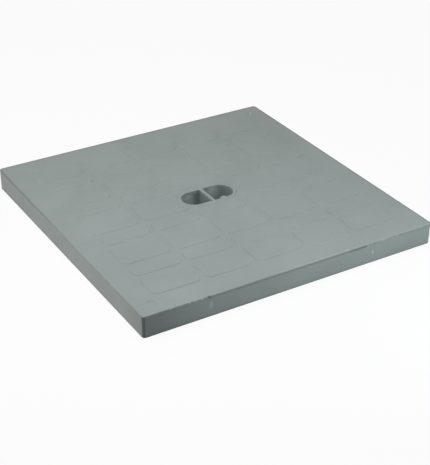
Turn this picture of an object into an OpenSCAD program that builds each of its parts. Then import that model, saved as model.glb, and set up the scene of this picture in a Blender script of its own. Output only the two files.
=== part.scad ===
// Square inspection cover for a small drain or cable chamber, moulded in one piece in grey plastic.
// The seating rim lies on the plane z = 0, with the middle of the cover above the origin.
// The courses of the paver pattern run from left to right along X, and the lifting web along Y.

/* [Cover] */
// Length of each side of the square
cover_w = 400; // [380:5:440]
// Height of the flat border over the seating rim
cover_h = 28; // [26:0.5:36]
// Thickness of the deck under the border
deck_t = 4; // [3:0.5:6]
// Radius of the four upright corners
corner_r = 4.5; // [4:0.5:8]
// Radius of the rounded edge round the top face
top_edge_r = 1; // [0.6:0.1:1]

/* [Lip and skirt] */
// Overhang of the lip that runs round the top
lip_out = 0.3; // [0.3:0.1:0.8]
// Height of the upright side of the lip
lip_t = 1.3; // [1.2:0.1:2]
// Slant of the outside of the skirt, from the lip down to the seating rim
skirt_slant = 0.2; // [0.2:0.2:1.2]
// Thickness of the skirt at the seating rim
skirt_t = 3.2; // [2.4:0.2:4]
// Extra thickness that the skirt gains up to the deck
skirt_draft = 0.4; // [0.2:0.1:1]
// Radius of the inner corners of the skirt
inner_corner_r = 3; // [2:0.5:6]

/* [Seat] */
// Width of the groove inside the skirt that takes the upstand of the chamber
seat_w = 13; // [8:1:18]
// Height of that groove over the seating rim
seat_h = 12; // [8:1:14]
// Slant of the rib ends that guide the cover onto the upstand
seat_lead = 2; // [1:0.5:4]

/* [Paver pattern] */
// Width of the flat border round the field of pavers
border_w = 31; // [28:1:38]
// Number of pavers in each course, odd so that one lies in the middle
columns = 5; // [3:2:7]
// Depth of a narrow course from front to back
narrow_course = 22; // [19:0.5:23]
// Depth of a wide course from front to back
wide_course = 43.5; // [41:0.5:45]
// Width of the sunk joints between pavers
joint_w = 5.5; // [4:0.5:7]
// Height of the pavers over the border and the joints
paver_rise = 1; // [0.6:0.1:1.6]
// Width of the sloped edge of a paver, seen from above
paver_slope = 1.75; // [1:0.25:3]
// Corner radius of a paver at its foot
paver_r = 8; // [5:0.5:9]

/* [Finger slot] */
// Length of the slot, whose ends are fully rounded
slot_l = 71.5; // [66:0.5:80]
// Width of the slot
slot_w = 33.5; // [30:0.5:36]
// Radius of the rounded edge of the slot
slot_edge_r = 0.8; // [0.4:0.2:1.2]
// Thickness of the lifting web across the middle of the slot
web_t = 4; // [3.6:0.2:7]
// Thickness of the wall of the finger cup under the deck
cup_t = 3; // [2:0.5:4]
// Thickness of the floor of the finger cup
cup_floor_t = 3; // [2:0.5:4]
// Slant of the walls of cup and web from top to floor
cup_draft = 0.6; // [0.2:0.2:1]

/* [Fixing points] */
// Distance of a fixing point from the two sides of its corner
fixing_inset = 21; // [18:1:26]
// Diameter of the round recess over a fixing point
recess_d = 12; // [8:1:14]
// Depth of the recess
recess_depth = 1; // [0.75:0.25:2]
// Thickness of the boss round the recess, under the deck
boss_wall = 2.5; // [1.5:0.5:4]
// Gap between the boss and the top of the seat groove
boss_clearance = 2; // [1:0.5:4]

/* [Ribs] */
// Number of ribs in each direction, even so that they pass beside the web
rib_count = 10; // [8:2:14]
// Thickness of a rib at its free edge
rib_t = 2; // [1.6:0.2:3]
// Extra thickness that a rib gains up to the deck
rib_draft = 0.8; // [0.4:0.2:1.2]
// Height of the free edges of ribs and cup over the seating rim
rib_clearance = 3.5; // [2:0.5:5]

/* [Hidden] */
$fn = 48;
// Steps that draw a rounded edge
edge_steps = 4;
// Overlap of forms that join, and overshoot of cuts
lap = 1;
deck_z = cover_h - deck_t;
paver_top = cover_h + paver_rise;
skirt_w = cover_w - 2 * (lip_out + skirt_slant);
cavity_w = skirt_w - 2 * skirt_t;
field_w = cover_w - 2 * border_w;
paver_w = (field_w - (columns - 1) * joint_w) / columns;
rim_w = (wide_course - slot_w) / 2;
cup_floor_z = rib_clearance + cup_floor_t;
rib_pitch = cavity_w / (rib_count + 1);
fixing_x = cover_w / 2 - fixing_inset;
boss_z = seat_h + boss_clearance;
// Courses from front to back: an edge course, then narrow and wide ones in turn, then an edge course
course_count = 9;
narrow_count = 4;
wide_count = 3;
edge_course = (field_w - (course_count - 1) * joint_w
    - narrow_count * narrow_course - wide_count * wide_course) / 2;
courses = [for (i = [0:course_count - 1])
    i == 0 || i == course_count - 1 ? edge_course : i % 2 == 1 ? narrow_course : wide_course];

// Sum of the first n values of a list
function sum_of(list, n) = n == 0 ? 0 : list[n - 1] + sum_of(list, n - 1);

// Middle of a course, measured from the middle of the cover
function course_y(i) = sum_of(courses, i) + i * joint_w + courses[i] / 2 - field_w / 2;

// Middle of a column of pavers
function column_x(i) = (i - (columns - 1) / 2) * (paver_w + joint_w);

// Place of a rib across its own direction
function rib_place(i) = (i - (rib_count - 1) / 2) * rib_pitch;

// Side profiles are lists of [inset from the outline, height], from the bottom up.
// This one stands upright from z1 and rounds over to z2.
function rounded_over(z1, z2, r) = concat([[0, z1]],
    [for (i = [0:edge_steps]) let (a = 90 * i / edge_steps) [r - r * cos(a), z2 - r + r * sin(a)]]);

// Section across a bar of the given half width, with the same side profile left and right
module section(half, profile) {
    last = len(profile) - 1;
    polygon(concat(
        [for (p = profile) [half - p.x, p.y]],
        [for (i = [last:-1:0]) [profile[i].x - half, profile[i].y]]
    ));
}

// Bar along X with that section
module bar_x(length, half, profile) {
    rotate([90, 0, 90]) linear_extrude(length, center = true) section(half, profile);
}

// Bar along Y with that section
module bar_y(length, half, profile) {
    rotate([90, 0, 0]) linear_extrude(length, center = true) section(half, profile);
}

// Slab with a rounded rectangle as its plan, whose sides all follow one profile
module slab(w, d, r, profile) {
    last = len(profile) - 1;
    if (w > 2 * r) bar_x(w - 2 * r, d / 2, profile);
    if (d > 2 * r) bar_y(d - 2 * r, w / 2, profile);
    for (x = [-1, 1], y = [-1, 1])
        translate([x * (w / 2 - r), y * (d / 2 - r), 0])
            rotate_extrude()
                intersection() {
                    section(r, profile);
                    translate([0, profile[0].y]) square([2 * r + lap, profile[last].y - profile[0].y]);
                }
}

// Deck and skirt, with a lip round the top
module shell() {
    skirt = [[lip_out + skirt_slant, 0], [lip_out, cover_h - lip_t - lip_out]];
    difference() {
        slab(cover_w, cover_w, corner_r,
            concat(skirt, rounded_over(cover_h - lip_t, cover_h, top_edge_r)));
        slab(cavity_w, cavity_w, inner_corner_r, [[0, -lap], [0, 0], [skirt_draft, deck_z]]);
    }
}

// Raised pavers, and the rim that carries their level round the slot
module pavers() {
    profile = [[0, deck_z], [0, cover_h], [paver_slope, paver_top]];
    for (row = [0:course_count - 1], column = [0:columns - 1])
        translate([column_x(column), course_y(row), 0])
            slab(paver_w, courses[row], paver_r, profile);
    slab(slot_l + 2 * rim_w, wide_course, wide_course / 2, profile);
}

// Crossed ribs, cut back along the skirt to leave the seat groove
module ribs() {
    root = (rib_t + rib_draft) / 2;
    profile = [[rib_draft / 2, rib_clearance], [0, deck_z + lap]];
    difference() {
        for (i = [0:rib_count - 1]) {
            translate([0, rib_place(i), 0]) bar_x(cavity_w, root, profile);
            translate([rib_place(i), 0, 0]) bar_y(cavity_w, root, profile);
        }
        difference() {
            slab(cover_w, cover_w, corner_r, [[0, 0], [0, seat_h]]);
            slab(cavity_w - 2 * seat_w, cavity_w - 2 * seat_w, inner_corner_r,
                [[seat_lead, -lap], [0, seat_h + lap]]);
        }
    }
}

// Closed cup under the slot
module finger_cup() {
    slab(slot_l + 2 * cup_t, slot_w + 2 * cup_t, slot_w / 2 + cup_t,
        [[cup_draft, rib_clearance], [0, deck_z + lap]]);
}

// Room for the fingers on both sides of the web
module finger_pockets() {
    flare = [for (i = [0:edge_steps]) let (a = 90 * i / edge_steps)
        [slot_edge_r * (cos(a) - 1), paver_top - slot_edge_r * (1 - sin(a))]];
    difference() {
        slab(slot_l, slot_w, slot_w / 2,
            concat([[cup_draft, cup_floor_z]], flare, [[-slot_edge_r, paver_top + lap]]));
        bar_y(slot_w + 2 * cup_t, web_t / 2,
            concat([[-cup_draft, cup_floor_z - lap]],
                rounded_over(paver_top - 2 * slot_edge_r, paver_top, slot_edge_r)));
    }
}

// Boss under a fixing point
module boss() {
    translate([0, 0, boss_z]) cylinder(h = deck_z + lap - boss_z, d = recess_d + 2 * boss_wall);
}

module at_fixing_points() {
    for (side = [-1, 1]) translate([side * fixing_x, side * fixing_x, 0]) children();
}

module cover() {
    color([0.57, 0.61, 0.6])
        difference() {
            union() {
                shell();
                pavers();
                ribs();
                finger_cup();
                at_fixing_points() boss();
            }
            finger_pockets();
            at_fixing_points()
                translate([0, 0, cover_h - recess_depth]) cylinder(h = recess_depth + lap, d = recess_d);
        }
}

cover();
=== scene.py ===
"""Looks of a square inspection cover, moulded in one piece in grey plastic.

The moulding is built from closed solids that are joined and cut as in the part's source:
a skirt with a deck, a field of raised pavers, a finger slot with its web, and crossed ribs.
Lengths are in metres. The seating rim lies on z = 0, with the middle of the cover over the origin.
"""
import math

import bmesh
import bpy
from mathutils import Matrix, Vector, noise


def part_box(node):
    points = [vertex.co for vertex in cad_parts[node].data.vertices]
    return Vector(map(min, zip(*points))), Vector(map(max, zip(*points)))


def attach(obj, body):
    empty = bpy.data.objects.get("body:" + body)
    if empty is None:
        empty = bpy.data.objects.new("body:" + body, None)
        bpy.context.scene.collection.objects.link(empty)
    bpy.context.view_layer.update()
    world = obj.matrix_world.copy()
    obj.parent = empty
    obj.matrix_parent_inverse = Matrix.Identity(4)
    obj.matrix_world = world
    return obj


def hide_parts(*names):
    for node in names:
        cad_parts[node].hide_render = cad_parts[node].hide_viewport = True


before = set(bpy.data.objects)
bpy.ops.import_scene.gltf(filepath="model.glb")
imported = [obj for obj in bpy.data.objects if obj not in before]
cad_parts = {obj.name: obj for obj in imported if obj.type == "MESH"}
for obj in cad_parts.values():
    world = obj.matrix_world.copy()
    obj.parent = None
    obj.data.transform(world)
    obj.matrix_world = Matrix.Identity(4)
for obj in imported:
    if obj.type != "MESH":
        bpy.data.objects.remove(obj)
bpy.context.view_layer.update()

MM = 0.001

# Sizes of the cover, named as in the part's source
COVER_LOW, COVER_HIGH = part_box("cover")
COVER_W = COVER_HIGH.x - COVER_LOW.x
# Distance of the sides from the middle
SIDE = COVER_W / 2
PAVER_RISE = 1 * MM
PAVER_TOP = COVER_HIGH.z
COVER_H = PAVER_TOP - PAVER_RISE
DECK_T = 4 * MM
DECK_Z = COVER_H - DECK_T
CORNER_R = 4.5 * MM
TOP_EDGE_R = 1 * MM
LIP_OUT = 0.3 * MM
LIP_T = 1.3 * MM
SKIRT_SLANT = 0.2 * MM
SKIRT_T = 3.2 * MM
SKIRT_DRAFT = 0.4 * MM
INNER_CORNER_R = 3 * MM
CAVITY_W = COVER_W - 2 * (LIP_OUT + SKIRT_SLANT + SKIRT_T)
SEAT_W = 13 * MM
SEAT_H = 12 * MM
SEAT_LEAD = 2 * MM
# Bevel at the foot of the skirt, which the source leaves out
FOOT_EDGE = 0.4 * MM

# Pavers
BORDER_W = 31 * MM
COLUMNS = 5
NARROW_COURSE = 22 * MM
WIDE_COURSE = 43.5 * MM
NARROW_COUNT = 4
WIDE_COUNT = 3
JOINT_W = 5.5 * MM
PAVER_SLOPE = 1.75 * MM
PAVER_R = 8 * MM
FIELD_W = COVER_W - 2 * BORDER_W
PAVER_W = (FIELD_W - (COLUMNS - 1) * JOINT_W) / COLUMNS
COURSE_COUNT = NARROW_COUNT + WIDE_COUNT + 2
EDGE_COURSE = (FIELD_W - (COURSE_COUNT - 1) * JOINT_W
               - NARROW_COUNT * NARROW_COURSE - WIDE_COUNT * WIDE_COURSE) / 2
COLUMN_PITCH = PAVER_W + JOINT_W
COURSE_PITCH = NARROW_COURSE + WIDE_COURSE + 2 * JOINT_W

# Finger slot with its web and cup
SLOT_L = 71.5 * MM
SLOT_W = 33.5 * MM
SLOT_EDGE_R = 0.8 * MM
WEB_T = 4 * MM
CUP_T = 3 * MM
CUP_FLOOR_T = 3 * MM
CUP_DRAFT = 0.6 * MM
RIM_W = (WIDE_COURSE - SLOT_W) / 2
# Upright corner radius of the solid that leaves the web between the pockets
WEB_CORNER_R = 1 * MM

# Fixing points at the near and the far corner
FIXING_INSET = 21 * MM
FIXING_X = SIDE - FIXING_INSET
RECESS_D = 12 * MM
RECESS_DEPTH = 1 * MM
# Width of the soft wall of the recess
RECESS_SLOPE = 2.2 * MM
BOSS_WALL = 2.5 * MM
BOSS_CLEARANCE = 2 * MM

# Ribs
RIB_COUNT = 10
RIB_T = 2 * MM
RIB_DRAFT = 0.8 * MM
RIB_CLEARANCE = 3.5 * MM
RIB_PITCH = CAVITY_W / (RIB_COUNT + 1)
RIB_EDGE_R = 0.3 * MM
# Share of half its thickness that rounds the end of a rib
RIB_END_SHARE = 0.9
# Radius of the fillet where ribs, cup and bosses meet the deck
ROOT_FILLET = 0.9 * MM

# Overlap of solids that join, and overshoot of cuts
LAP = 1 * MM
# Flats in a rounded corner and in a rounded edge
CORNER_STEPS = 10
EDGE_STEPS = 6
# Distances below which points of a solid, and of the whole moulding, become one
SAME_POINT = 1e-7
WELDED = 1e-6
# Least angle between two faces that shows as an edge
SHARP_ANGLE = math.radians(40)
# Turns that divide a quarter circle
QUARTER = [math.pi / 2 * i / EDGE_STEPS for i in range(EDGE_STEPS + 1)]

# Chips out of the front top edge, as [place along X, half length, half depth, half height], in millimetres
CHIPS = [(102.5, 2.2, 0.9, 1.5), (107.5, 3.2, 0.5, 1.0), (114.5, 2.6, 0.35, 0.8), (133, 3, 0.4, 0.9)]
# Depth of the middle of a chip under the border
CHIP_DROP = 0.7 * MM
# Middle and half sizes of the burr on the near edge of the right pocket
BURR_PLACE = (15.5 * MM, -15 * MM, PAVER_TOP - 1.6 * MM)
BURR_HALVES = (4.6 * MM, 3 * MM, 1.4 * MM)

# Clean plastic at its darkest and lightest, pale rubbed plastic that also serves for painted highlights and
# painted light, and the dark colour of painted shade and dirt
DARK_PLASTIC = (0.298, 0.332, 0.325, 1)
LIGHT_PLASTIC = (0.324, 0.359, 0.352, 1)
RUBBED_AND_LIT_PLASTIC = (0.50, 0.55, 0.54, 1)
SHADE_AND_GRIME = (0.10, 0.115, 0.11, 1)

# Changes in the painted shadow line under the lip on the front, as [from, to along X, change of its share]
LIP_LINE = [(-118, -112, 0.18), (-90, -40, 0.09), (60, 85, 0.33), (100, 102, -0.61), (144, 152, 0.1)]
# Marks on the front, as [place along X, height, half length, half height, share]
# The dark marks are dashes of painted shadow under the lip
DARK_MARKS = [
    (-117, 26.7, 2.6, 1.9, 0.95),
    (-114.4, 25.3, 1.5, 1.9, 0.75),
    (112.4, 25, 3, 0.9, 0.5),
    (120.6, 24.4, 2.4, 0.8, 0.35),
    (134.8, 26.6, 2, 0.9, 0.5),
    (141, 27.3, 1.6, 0.9, 0.4),
    (151, 26.8, 3, 1, 0.5),
]
# The pale marks are scuff marks on the front face, and wear with painted highlights along the top edge
PALE_MARKS = [
    (-165, 27.2, 2.2, 1.7, 0.9),
    (-152, 27.2, 2, 1.6, 0.8),
    (-142, 27.1, 2, 1.7, 0.9),
    (-134, 27.3, 1.8, 1.5, 0.8),
    (-126, 27.1, 2.4, 1.8, 0.9),
    (-114, 15, 3, 7, 0.5),
    (102.9, 25.2, 1.2, 2.6, 0.5),
    (110.3, 14.6, 1.8, 3.4, 0.9),
    (125, 25.5, 6, 2, 0.3),
]
# Patches of painted light on the back walls of the pockets, listed as the marks on the front are
POCKET_LIGHT_PATCHES = [
    (-17, 15, 10, 13, 1),
    (18, 18, 11, 13, 0.9),
]
# Marks on the top, as [place along X, place along Y, half length along X, half length along Y, share]
TOP_MARKS = [
    (180.5, 180.8, 2.2, 3.3, 0.7),
]

# Share of the floor's look that is plain white, so that the rest keeps the shadow
FLOOR_GLOW = 0.93
# Half the length of each side of the floor
FLOOR_HALF = 4

# Name, place, diameter, watts and colour of each lamp, fitted to the levels of light in the photograph
LAMPS = [
    ("overhead_softbox", (0, 0.026, 1.5), 0.8, 6.45, (1, 1, 1)),
    ("back_softbox", (-0.53, 0.53, 1.299), 0.8, 6.4, (1, 0.98, 0.95)),
    ("left_softbox", (-1.29, 0, 0.158), 0.25, 3.8, (1, 0.89, 0.885)),
    ("right_softbox", (1.177, -0.68, 0.634), 0.6, 4.3, (0.88, 1, 1)),
    ("near_lamp", (-0.25, -0.17, 0.5), 0.2, 0.75, (0.92, 0.99, 1)),
    ("front_lamp", (0.15, -0.42, 0.165), 0.2, 0.33, (0.87, 1, 0.99)),
]

# Camera, fitted to the edges and corners of the cover in the photograph
CAMERA_PLACE = (-0.68, -1.1304, 0.7488)
CAMERA_AZIMUTH = math.radians(31.477)
CAMERA_DOWN = math.radians(30.459)
CAMERA_ROLL = math.radians(0.529)
CAMERA_LENS = 91.82
CAMERA_SENSOR = 36


# Node trees

class Value:
    """One output of a node. Sums on it add Math nodes to the same tree."""

    def __init__(self, tree, socket):
        self.tree = tree
        self.socket = socket

    def maths(self, operation, first, second):
        return add(self.tree, "ShaderNodeMath", {"operation": operation}, {0: first, 1: second})

    def output(self, name):
        """Another output of the same node."""
        return Value(self.tree, self.socket.node.outputs[name])

    def __add__(self, other):
        return self.maths("ADD", self, other)

    def __radd__(self, other):
        return self.maths("ADD", other, self)

    def __sub__(self, other):
        return self.maths("SUBTRACT", self, other)

    def __rsub__(self, other):
        return self.maths("SUBTRACT", other, self)

    def __mul__(self, other):
        return self.maths("MULTIPLY", self, other)

    def __rmul__(self, other):
        return self.maths("MULTIPLY", other, self)

    def __truediv__(self, other):
        return self.maths("DIVIDE", self, other)

    def __abs__(self):
        return self.maths("ABSOLUTE", self, 0)

    def larger(self, other):
        return self.maths("MAXIMUM", self, other)


def add(tree, kind, settings, inputs, output=0):
    """Adds a node, with its settings first, then the values or links of its sockets.

    A list as the input links several outputs to one socket.
    """
    node = tree.nodes.new(kind)
    for name, setting in settings.items():
        setattr(node, name, setting)
    for name, given in inputs.items():
        for value in given if isinstance(given, list) else [given]:
            if isinstance(value, Value):
                tree.links.new(value.socket, node.inputs[name])
            else:
                node.inputs[name].default_value = value
    return Value(tree, node.outputs[output]) if node.outputs else node


def emptied_tree(block):
    """The node tree of a new material or world, without its first nodes."""
    block.use_nodes = True
    block.node_tree.nodes.clear()
    return block.node_tree


def geometry_tree(name, sizes):
    """A Geometry Nodes tree with a geometry input and named sizes, and its group input."""
    tree = bpy.data.node_groups.new(name, "GeometryNodeTree")
    tree.interface.new_socket("Geometry", in_out="INPUT", socket_type="NodeSocketGeometry")
    for size, kind in sizes.items():
        tree.interface.new_socket(size, in_out="INPUT", socket_type=kind)
    tree.interface.new_socket("Geometry", in_out="OUTPUT", socket_type="NodeSocketGeometry")
    return tree, add(tree, "NodeGroupInput", {}, {})


def finish_geometry(tree, geometry, material):
    """Ends a tree with plain mesh in one material."""
    plain = add(tree, "GeometryNodeRealizeInstances", {}, {"Geometry": geometry})
    painted = add(tree, "GeometryNodeSetMaterial", {}, {"Geometry": plain, "Material": material})
    add(tree, "NodeGroupOutput", {}, {"Geometry": painted})
    return tree


def paver_rows_tree():
    """Repeats one paver over the columns and rows of its kind, centred on the origin."""
    tree, sizes = geometry_tree("paver_rows", {
        "Columns": "NodeSocketInt",
        "Column pitch": "NodeSocketFloat",
        "Rows": "NodeSocketInt",
        "Row pitch": "NodeSocketFloat",
        "Plastic": "NodeSocketMaterial",
    })
    columns = sizes.output("Columns")
    rows = sizes.output("Rows")
    places = add(tree, "GeometryNodeMeshGrid", {}, {
        "Size X": (columns - 1) * sizes.output("Column pitch"),
        "Size Y": (rows - 1) * sizes.output("Row pitch"),
        "Vertices X": columns,
        "Vertices Y": rows,
    })
    pavers = add(tree, "GeometryNodeInstanceOnPoints", {}, {
        "Points": places,
        "Instance": sizes.output("Geometry"),
    })
    return finish_geometry(tree, pavers, sizes.output("Plastic"))


def rib_grid_tree():
    """Repeats one rib along X at an even pitch, crosses the row with itself and joins both."""
    tree, sizes = geometry_tree("rib_grid", {
        "Ribs": "NodeSocketInt",
        "Rib pitch": "NodeSocketFloat",
        "Plastic": "NodeSocketMaterial",
    })
    first = (1 - sizes.output("Ribs")) * sizes.output("Rib pitch") / 2
    places = add(tree, "GeometryNodeMeshLine", {}, {
        "Count": sizes.output("Ribs"),
        "Start Location": add(tree, "ShaderNodeCombineXYZ", {}, {"Y": first}),
        "Offset": add(tree, "ShaderNodeCombineXYZ", {}, {"Y": sizes.output("Rib pitch")}),
    })
    row = add(tree, "GeometryNodeInstanceOnPoints", {}, {
        "Points": places,
        "Instance": sizes.output("Geometry"),
    })
    across = add(tree, "GeometryNodeRealizeInstances", {}, {"Geometry": row})
    along = add(tree, "GeometryNodeTransform", {}, {
        "Geometry": across,
        "Rotation": (0, 0, math.pi / 2),
    })
    grid = add(tree, "GeometryNodeMeshBoolean", {"operation": "UNION", "solver": "MANIFOLD"}, {
        "Mesh 2": [across, along],
    })
    return finish_geometry(tree, grid, sizes.output("Plastic"))


# Solids

def new_object(name, data):
    """New object in the scene, from a mesh, a lamp or a camera."""
    piece = bpy.data.objects.new(name, data)
    bpy.context.collection.objects.link(piece)
    return piece


def as_object(name, solid):
    """New object from a bmesh, which is used up."""
    mesh = bpy.data.meshes.new(name)
    solid.to_mesh(mesh)
    solid.free()
    return new_object(name, mesh)


def settled(piece):
    """The piece as a plain mesh, with its modifiers done and gone."""
    graph = bpy.context.evaluated_depsgraph_get()
    mesh = bpy.data.meshes.new_from_object(piece.evaluated_get(graph))
    piece.modifiers.clear()
    piece.data = mesh
    return piece


def rounding(radius, top):
    """Side profile that stands upright and rounds over to the given height."""
    return [(radius - radius * math.cos(a), top - radius + radius * math.sin(a)) for a in QUARTER]


def soft_slope(run, low, high, steps=8):
    """Side profile that leaves the lower level and reaches the upper one without an edge."""
    shares = [i / steps for i in range(steps + 1)]
    return [(run * t, low + (high - low) * (1 - math.cos(math.pi * t)) / 2) for t in shares]


def root(inset, top):
    """Side profile that spreads in a fillet where a wall meets the deck from below."""
    r = ROOT_FILLET
    fillet = [(inset - r + r * math.cos(a), top - r + r * math.sin(a)) for a in QUARTER]
    return fillet + [(inset - r, top + LAP)]


def outline(w, d, r, spacing):
    """Points of a rounded rectangle and their outward directions, anticlockwise from above.

    With a spacing, the straight sides get points of their own at about that distance.
    """
    points = []
    for quarter, (side_x, side_y) in enumerate([(1, 1), (-1, 1), (-1, -1), (1, -1)]):
        centre = Vector((side_x * (w / 2 - r), side_y * (d / 2 - r), 0))
        for i in range(CORNER_STEPS + 1):
            turn = math.pi / 2 * (quarter + i / CORNER_STEPS)
            way = Vector((math.cos(turn), math.sin(turn), 0))
            points.append((centre + r * way, way))
        if spacing:
            side = (w if quarter % 2 == 0 else d) - 2 * r
            along = Vector((-way.y, way.x, 0))
            count = round(side / spacing)
            points += [(points[-1][0] + along * side * i / count, way) for i in range(1, count)]
    return points


def slab(name, w, d, r, profile, at=(0, 0), spacing=None, worn=None):
    """Closed solid with a rounded rectangle as its plan, whose sides follow [inset, height] points.

    The function worn gives the least inset at a point of the outline.
    """
    places = outline(w, d, r, spacing)
    solid = bmesh.new()
    rings = []
    for inset, z in profile:
        ring = []
        for point, way in places:
            lost = max(inset, worn(point)) if worn else inset
            ring.append(solid.verts.new(point - way * lost + Vector((at[0], at[1], z))))
        rings.append(ring)
    for low, high in zip(rings, rings[1:]):
        for i in range(len(places)):
            solid.faces.new([low[i - 1], low[i], high[i], high[i - 1]])
    solid.faces.new(rings[0][::-1])
    solid.faces.new(rings[-1])
    bmesh.ops.remove_doubles(solid, verts=solid.verts, dist=SAME_POINT)
    return as_object(name, solid)


def lump(name, place, halves, bend, scale, shift):
    """Closed uneven ball with its middle at a place, with the given half sizes.

    The bend says how far the noise moves its surface, and scale and shift where the noise is read.
    """
    solid = bmesh.new()
    bmesh.ops.create_icosphere(solid, subdivisions=3, radius=1)
    for vert in solid.verts:
        vert.co *= 1 + bend * noise.noise(vert.co * scale + Vector((shift, 0, 0)))
    to_place = Matrix.Translation(place) @ Matrix.Diagonal((*halves, 1))
    bmesh.ops.transform(solid, matrix=to_place, verts=solid.verts)
    return as_object(name, solid)


def carve(piece, operation, tools):
    """The piece after a boolean with each tool in turn. The tools are used up."""
    for tool in tools:
        cut = piece.modifiers.new(tool.name, "BOOLEAN")
        cut.operation = operation
        cut.solver = "MANIFOLD"
        cut.object = tool
    settled(piece)
    for tool in tools:
        bpy.data.objects.remove(tool)
    return piece


def repeat(piece, tree, **sizes):
    """The piece repeated by a Geometry Nodes tree with those inputs, as plain mesh."""
    step = piece.modifiers.new(tree.name, "NODES")
    step.node_group = tree
    for socket in tree.interface.items_tree:
        key = socket.name.lower().replace(" ", "_")
        if socket.in_out == "INPUT" and key in sizes:
            step[socket.identifier] = sizes[key]
    return settled(piece)


# Parts of the moulding

def lip_wear(point):
    """How far the lip is rubbed back at a point of the outline, most on the left and past the chips."""
    rub = 0.5 + 0.5 * noise.noise(point / (14 * MM))
    lost = 0.15 + 0.35 * rub
    if point.y < 0 and abs(point.y) > abs(point.x) and point.x > 101 * MM:
        fine_rub = 0.5 + 0.5 * noise.noise(point / (5 * MM))
        lost = 0.45 + 0.55 * fine_rub
    if point.x < 0 and abs(point.x) > abs(point.y) and point.y < 130 * MM:
        lost = 0.45 + 0.3 * rub
    return LIP_OUT * min(1, lost)


def shell():
    """Skirt and deck."""
    skirt = [
        (LIP_OUT + SKIRT_SLANT + FOOT_EDGE, 0),
        (LIP_OUT + SKIRT_SLANT, FOOT_EDGE),
        (LIP_OUT, COVER_H - LIP_T - LIP_OUT),
    ]
    outside = slab("cover_moulding", COVER_W, COVER_W, CORNER_R,
                   skirt + [(0, COVER_H - LIP_T)] + rounding(TOP_EDGE_R, COVER_H),
                   spacing=2 * MM, worn=lip_wear)
    hollow = slab("hollow", CAVITY_W, CAVITY_W, INNER_CORNER_R,
                  [(0, -LAP), (0, 0), (SKIRT_DRAFT, DECK_Z)])
    return carve(outside, "DIFFERENCE", [hollow])


def paver_profile():
    """Side profile of a paver and of the rim, from inside the deck up."""
    return [(0, DECK_Z + LAP)] + soft_slope(PAVER_SLOPE, COVER_H, PAVER_TOP)


def paver_kind(name, course, rows, pitch, tree, plastic):
    """All pavers of one course depth."""
    paver = slab(name, PAVER_W, course, PAVER_R, paver_profile())
    return repeat(paver, tree, columns=COLUMNS, column_pitch=COLUMN_PITCH,
                  rows=rows, row_pitch=pitch, plastic=plastic)


def pavers(plastic):
    """Raised pavers, and the rim that carries their level round the slot."""
    tree = paver_rows_tree()
    return [
        paver_kind("narrow_pavers", NARROW_COURSE, NARROW_COUNT, COURSE_PITCH, tree, plastic),
        paver_kind("wide_pavers", WIDE_COURSE, WIDE_COUNT, COURSE_PITCH, tree, plastic),
        paver_kind("edge_pavers", EDGE_COURSE, 2, FIELD_W - EDGE_COURSE, tree, plastic),
        slab("slot_rim", SLOT_L + 2 * RIM_W, WIDE_COURSE, WIDE_COURSE / 2, paver_profile()),
    ]


def free_edge(inset):
    """Side profile of the lower edge of a rib or the cup."""
    return [(inset + RIB_EDGE_R, RIB_CLEARANCE), (inset, RIB_CLEARANCE + RIB_EDGE_R)]


def ribs(plastic):
    """Crossed ribs, cut back along the skirt to leave the seat groove."""
    half = (RIB_T + RIB_DRAFT) / 2
    foot = RIB_DRAFT / 2
    profile = free_edge(foot) + root(0, DECK_Z)
    rib = slab("ribs", CAVITY_W + 2 * half, 2 * half, half * RIB_END_SHARE, profile)
    grid = repeat(rib, rib_grid_tree(), ribs=RIB_COUNT, rib_pitch=RIB_PITCH, plastic=plastic)
    groove = slab("seat_groove", COVER_W, COVER_W, CORNER_R, [(0, 0), (0, SEAT_H)])
    inside = CAVITY_W - 2 * SEAT_W
    kept = slab("kept", inside, inside, INNER_CORNER_R, [(SEAT_LEAD, -LAP), (0, SEAT_H + LAP)])
    return carve(grid, "DIFFERENCE", [carve(groove, "DIFFERENCE", [kept])])


def finger_cup():
    """Closed cup under the slot."""
    return slab("finger_cup", SLOT_L + 2 * CUP_T, SLOT_W + 2 * CUP_T, SLOT_W / 2 + CUP_T,
                free_edge(CUP_DRAFT) + root(0, DECK_Z))


def finger_pockets():
    """Room for the fingers on both sides of the web."""
    r = SLOT_EDGE_R
    flare = [(r * (math.cos(a) - 1), PAVER_TOP - r * (1 - math.sin(a))) for a in QUARTER]
    floor = RIB_CLEARANCE + CUP_FLOOR_T
    pockets = slab("finger_pockets", SLOT_L, SLOT_W, SLOT_W / 2,
                   [(CUP_DRAFT, floor)] + flare + [(-r, PAVER_TOP + LAP)])
    web = slab("web", WEB_T, SLOT_W + 2 * CUP_T, WEB_CORNER_R,
               [(-CUP_DRAFT, floor - LAP)] + rounding(r, PAVER_TOP))
    return carve(pockets, "DIFFERENCE", [web])


def fixing_points(make):
    """What a function makes at the near and at the far fixing point."""
    return [make((-FIXING_X, -FIXING_X)), make((FIXING_X, FIXING_X))]


def boss(at):
    """Boss under a fixing point."""
    width = RECESS_D + 2 * BOSS_WALL
    return slab("boss", width, width, width / 2, [(0, SEAT_H + BOSS_CLEARANCE)] + root(0, DECK_Z), at)


def recess(at):
    """Shallow round recess with a soft wall."""
    rise = soft_slope(RECESS_SLOPE, COVER_H - RECESS_DEPTH, COVER_H)
    wall = [(RECESS_SLOPE - run, z) for run, z in rise]
    return slab("recess", RECESS_D, RECESS_D, RECESS_D / 2, wall + [(0, COVER_H + LAP)], at)


def burr():
    """Small lump on the near edge of the right pocket."""
    return lump("burr", BURR_PLACE, BURR_HALVES, bend=0.3, scale=1.5, shift=0)


def chips():
    """Bites out of the front top edge."""
    tools = []
    for i, (x, *halves) in enumerate(CHIPS):
        place = (x * MM, -SIDE, COVER_H - CHIP_DROP)
        sizes = [half * MM for half in halves]
        tools.append(lump("chip", place, sizes, bend=0.25, scale=1.7, shift=i * 10))
    return tools


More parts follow.
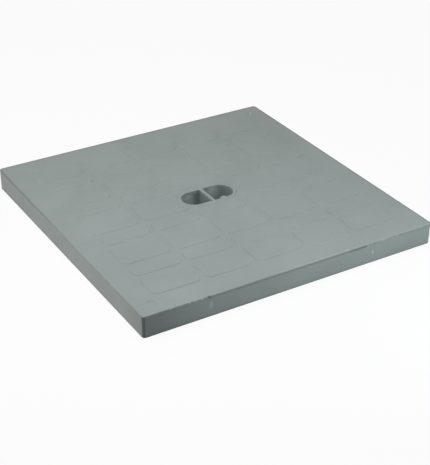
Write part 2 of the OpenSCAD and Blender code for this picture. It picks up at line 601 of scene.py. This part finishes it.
def cover_moulding(plastic):
    """The whole moulding as one closed mesh, shaded so that flats look flat and fillets round."""
    cover = shell()
    carve(cover, "UNION", [ribs(plastic), finger_cup()] + fixing_points(boss) + pavers(plastic))
    carve(cover, "DIFFERENCE", [finger_pockets()] + fixing_points(recess) + chips())
    carve(cover, "UNION", [burr()])
    solid = bmesh.new()
    solid.from_mesh(cover.data)
    bmesh.ops.remove_doubles(solid, verts=solid.verts, dist=WELDED)
    bmesh.ops.dissolve_degenerate(solid, edges=solid.edges, dist=SAME_POINT)
    bmesh.ops.recalc_face_normals(solid, faces=solid.faces)
    solid.to_mesh(cover.data)
    solid.free()
    cover.data.materials.clear()
    cover.data.materials.append(plastic)
    cover.data.polygons.foreach_set("material_index", [0] * len(cover.data.polygons))
    cover.data.polygons.foreach_set("use_smooth", [True] * len(cover.data.polygons))
    cover.data.set_sharp_from_angle(angle=SHARP_ANGLE)
    even = cover.modifiers.new("flats_stay_flat", "WEIGHTED_NORMAL")
    even.keep_sharp = True
    even.weight = 100
    return settled(cover)


# Finish

def noise_value(tree, place, size, detail=2, roughness=0.5):
    """Noise from 0 to 1 whose spots are about the given size."""
    return add(tree, "ShaderNodeTexNoise", {}, {
        "Vector": place,
        "Scale": 1 / size,
        "Detail": detail,
        "Roughness": roughness,
    })


def between(tree, value, low, high, first=0.0, last=1.0):
    """Value that goes smoothly from first to last while the given one goes from low to high."""
    return add(tree, "ShaderNodeMapRange", {"interpolation_type": "SMOOTHSTEP"}, {
        "Value": value,
        "From Min": low,
        "From Max": high,
        "To Min": first,
        "To Max": last,
    })


def mixed(tree, share, first, second):
    """Colour that goes from the first to the second with the share."""
    return add(tree, "ShaderNodeMix", {"data_type": "RGBA"}, {0: share, 6: first, 7: second}, output=2)


def side_mask(tree, along):
    """1 on the side towards the low end of an axis, 0 from 1.6 mm inside it on."""
    return between(tree, along, -SIDE + 0.6 * MM, -SIDE + 1.6 * MM, 1, 0)


def band(tree, value, low, high, fade):
    """1 from low to high, falling to 0 over the fade on both sides."""
    return between(tree, value, low - fade, low) * between(tree, value, high, high + fade, 1, 0)


def marks(tree, along, across, listed):
    """Largest share that any listed mark has at a place in one view.

    A mark is [two coordinates, two half sizes, share], with its lengths in millimetres.
    """
    share = 0
    for centre_along, centre_across, half_along, half_across, strength in listed:
        first = (along - centre_along * MM) / (half_along * MM)
        second = (across - centre_across * MM) / (half_across * MM)
        share = between(tree, first * first + second * second, 0, 1, strength, 0).larger(share)
    return share


def front_painted_shade(tree, x, y, z):
    """Share of painted shade on the front: a painted shadow line under the lip, single painted shadow
    dashes, and painted shade growing towards the near corner.
    """
    line = 0.1
    for low, high, change in LIP_LINE:
        line = between(tree, x, low * MM, high * MM, 0, change) + line
    under_lip = band(tree, z, COVER_H - 3.2 * MM, COVER_H - 1.8 * MM, 0.9 * MM)
    near_end = between(tree, x, -SIDE - 10 * MM, -95 * MM, 0.52, 0)
    return side_mask(tree, y) * (under_lip * line).larger(marks(tree, x, z, DARK_MARKS)).larger(near_end)


def left_shade_and_grime(tree, x, y, z, high):
    """Share of the dark colour on the left: painted shade along the top edge and towards the near corner,
    and dirt at the foot.
    """
    along_edge = between(tree, x, -SIDE + 1 * MM, -SIDE + 2.6 * MM, 1, 0) * high
    edge = along_edge * (0.1 + between(tree, y, -60 * MM, 150 * MM) * 0.35)
    near_end = between(tree, y, -SIDE - 10 * MM, -135 * MM, 0.24, 0)
    foot = between(tree, z, 2.2 * MM, 4.4 * MM, 0.2, 0)
    return (side_mask(tree, x) * near_end.larger(foot)).larger(edge)


def near_corner_shade(tree, x, y, z):
    """Share of painted shade in an upright strip on the rounded near corner."""
    corner = between(tree, x + y, -COVER_W + 3.6 * MM, -COVER_W + 6 * MM, 1, 0)
    strip = between(tree, abs(x - y), 1.8 * MM, 4.2 * MM, 0.95, 0)
    return corner * strip * between(tree, z, COVER_H - 1.2 * MM, COVER_H - 0.5 * MM, 1, 0)


def painted_shade_and_grime(tree, x, y, z):
    """Share of the dark colour: painted shade and some dirt on the sides that show, a darker band along the
    far top edges, and a painted contact shadow round the foot.
    """
    high = between(tree, z, COVER_H - 2.8 * MM, COVER_H - 1.6 * MM)
    right_edge = between(tree, x, SIDE - 2.9 * MM, SIDE - 1.5 * MM) * 0.5
    back_edge = between(tree, y, SIDE - 4.5 * MM, SIDE - 3 * MM) * 0.25
    on_skirt = between(tree, abs(x).larger(abs(y)), SIDE - 3.4 * MM, SIDE - 3 * MM)
    # Painted contact shadow round the foot
    foot = on_skirt * between(tree, z, 0.8 * MM, 2.2 * MM, 0.25, 0)
    near = front_painted_shade(tree, x, y, z).larger(left_shade_and_grime(tree, x, y, z, high))
    far = high * right_edge.larger(back_edge)
    return near.larger(far).larger(foot).larger(near_corner_shade(tree, x, y, z))


def pocket_painted_light(tree, x, y, z):
    """Share of painted light in the finger pockets, on their back walls and round ends."""
    back = band(tree, y, 14 * MM, 17.2 * MM, 0.4 * MM) * marks(tree, x, z, POCKET_LIGHT_PATCHES)
    ends = between(tree, x, -28 * MM, -20 * MM, 0.5, 0) + between(tree, x, 20 * MM, 28 * MM, 0, 0.15)
    in_plan = between(tree, abs(x), 37.2 * MM, 38 * MM, 1, 0) * between(tree, abs(y), 15 * MM, 18 * MM, 1, 0)
    return back.larger(ends * in_plan * band(tree, z, 7 * MM, 24 * MM, 2 * MM))


def scuffs_and_painted_light(tree, x, y, z, place):
    """Share of the pale colour: wear with a painted highlight along the front edge, scuff marks and painted
    highlights in single marks, painted light in the pockets, and a pale mark on the top.
    """
    scratchy = noise_value(tree, place, 2.5 * MM, 3)
    near_edge = between(tree, y, -SIDE + 1.2 * MM, -SIDE + 2.4 * MM, 1, 0)
    high = between(tree, z, COVER_H - 0.9 * MM, COVER_H - 0.4 * MM)
    edge_share = 0.15 + between(tree, x, -50 * MM, 80 * MM) * 0.4
    # Wear with a painted highlight along the front top edge
    edge = near_edge * high * edge_share * between(tree, scratchy, 0.45, 0.6)
    front = side_mask(tree, y) * marks(tree, x, z, PALE_MARKS)
    top = between(tree, z, COVER_H - 2 * MM, COVER_H - 1.3 * MM) * marks(tree, x, y, TOP_MARKS)
    return edge.larger(front).larger(pocket_painted_light(tree, x, y, z)).larger(top)


def moulded_plastic():
    """Grey plastic with a fine moulded grain, faint clouds, painted shade and some dirt on its edges, pale
    scuff marks, and painted highlights and painted light in the pockets.
    """
    material = bpy.data.materials.new("cover_plastic")
    tree = emptied_tree(material)
    place = add(tree, "ShaderNodeTexCoord", {}, {}, output="Object")
    x = add(tree, "ShaderNodeSeparateXYZ", {}, {"Vector": place})
    y = x.output("Y")
    z = x.output("Z")
    clouds = noise_value(tree, place, 60 * MM, 3)
    spots = noise_value(tree, place, 9 * MM, 2)
    grain = noise_value(tree, place, 0.5 * MM, 1)
    clean = mixed(tree, between(tree, clouds, 0.3, 0.7), DARK_PLASTIC, LIGHT_PLASTIC)
    # Pale wear and scuff marks, with painted highlights and painted light
    scuffed_and_lit = mixed(tree, scuffs_and_painted_light(tree, x, y, z, place), clean, RUBBED_AND_LIT_PLASTIC)
    # Painted shade, with some dirt
    colour = mixed(tree, painted_shade_and_grime(tree, x, y, z), scuffed_and_lit, SHADE_AND_GRIME)
    relief = grain * 0.6 + spots * 0.4
    bump = add(tree, "ShaderNodeBump", {}, {"Strength": 0.35, "Distance": 0.05 * MM, "Height": relief})
    surface = add(tree, "ShaderNodeBsdfPrincipled", {}, {
        "Base Color": colour,
        "Roughness": 0.56 + spots * 0.12,
        "Normal": bump,
        "IOR": 1.46,
        "Specular IOR Level": 0.35,
    })
    add(tree, "ShaderNodeOutputMaterial", {}, {"Surface": surface})
    return material


# Surroundings

def seen_directly(tree):
    """1 for what the camera sees, also in a reflection or through glass."""
    rays = add(tree, "ShaderNodeLightPath", {}, {}, output="Is Camera Ray")
    return rays.larger(rays.output("Is Glossy Ray")).larger(rays.output("Is Transmission Ray"))


def white_floor():
    """Plain floor that the camera sees as white with a soft shadow."""
    material = bpy.data.materials.new("floor_white")
    tree = emptied_tree(material)
    paint = add(tree, "ShaderNodeBsdfDiffuse", {}, {"Color": (0.8, 0.8, 0.8, 1)})
    glow = add(tree, "ShaderNodeEmission", {}, {"Color": (1, 1, 1, 1), "Strength": 1})
    white = seen_directly(tree) * FLOOR_GLOW
    surface = add(tree, "ShaderNodeMixShader", {}, {0: white, 1: paint, 2: glow})
    add(tree, "ShaderNodeOutputMaterial", {}, {"Surface": surface})
    solid = bmesh.new()
    bmesh.ops.create_grid(solid, x_segments=1, y_segments=1, size=FLOOR_HALF)
    floor = as_object("floor", solid)
    floor.data.materials.append(material)


def soft_world():
    """White background that gives no light of its own."""
    world = bpy.data.worlds.new("studio")
    tree = emptied_tree(world)
    background = add(tree, "ShaderNodeBackground", {}, {
        "Color": (1, 1, 1, 1),
        "Strength": seen_directly(tree),
    })
    add(tree, "ShaderNodeOutputWorld", {}, {"Surface": background})
    bpy.context.scene.world = world


def softbox(name, place, size, watts, colour):
    """Round soft lamp that points at the middle of the cover."""
    lamp = bpy.data.lights.new(name, "AREA")
    lamp.shape = "DISK"
    lamp.size = size
    lamp.energy = watts
    lamp.color = colour
    holder = new_object(name, lamp)
    holder.location = place
    holder.rotation_mode = "QUATERNION"
    holder.rotation_quaternion = (-Vector(place)).to_track_quat("-Z", "Y")


def camera():
    """Camera at the photograph's viewing angle."""
    lens = bpy.data.cameras.new("camera")
    lens.lens = CAMERA_LENS
    lens.sensor_width = CAMERA_SENSOR
    flat_ahead = Vector((math.sin(CAMERA_AZIMUTH), math.cos(CAMERA_AZIMUTH), 0))
    ahead = flat_ahead * math.cos(CAMERA_DOWN) - Vector((0, 0, math.sin(CAMERA_DOWN)))
    level = Vector((math.cos(CAMERA_AZIMUTH), -math.sin(CAMERA_AZIMUTH), 0))
    upright = level.cross(ahead)
    right = level * math.cos(CAMERA_ROLL) + upright * math.sin(CAMERA_ROLL)
    up = right.cross(ahead)
    holder = new_object("camera", lens)
    turn = Matrix((right, up, -ahead)).transposed().to_4x4()
    holder.matrix_world = Matrix.Translation(CAMERA_PLACE) @ turn
    bpy.context.scene.camera = holder


plastic = moulded_plastic()
cover = cover_moulding(plastic)
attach(cover, "root")
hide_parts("cover")

white_floor()
soft_world()
for lamp in LAMPS:
    softbox(*lamp)
camera()
bpy.context.scene.view_settings.view_transform = "Standard"
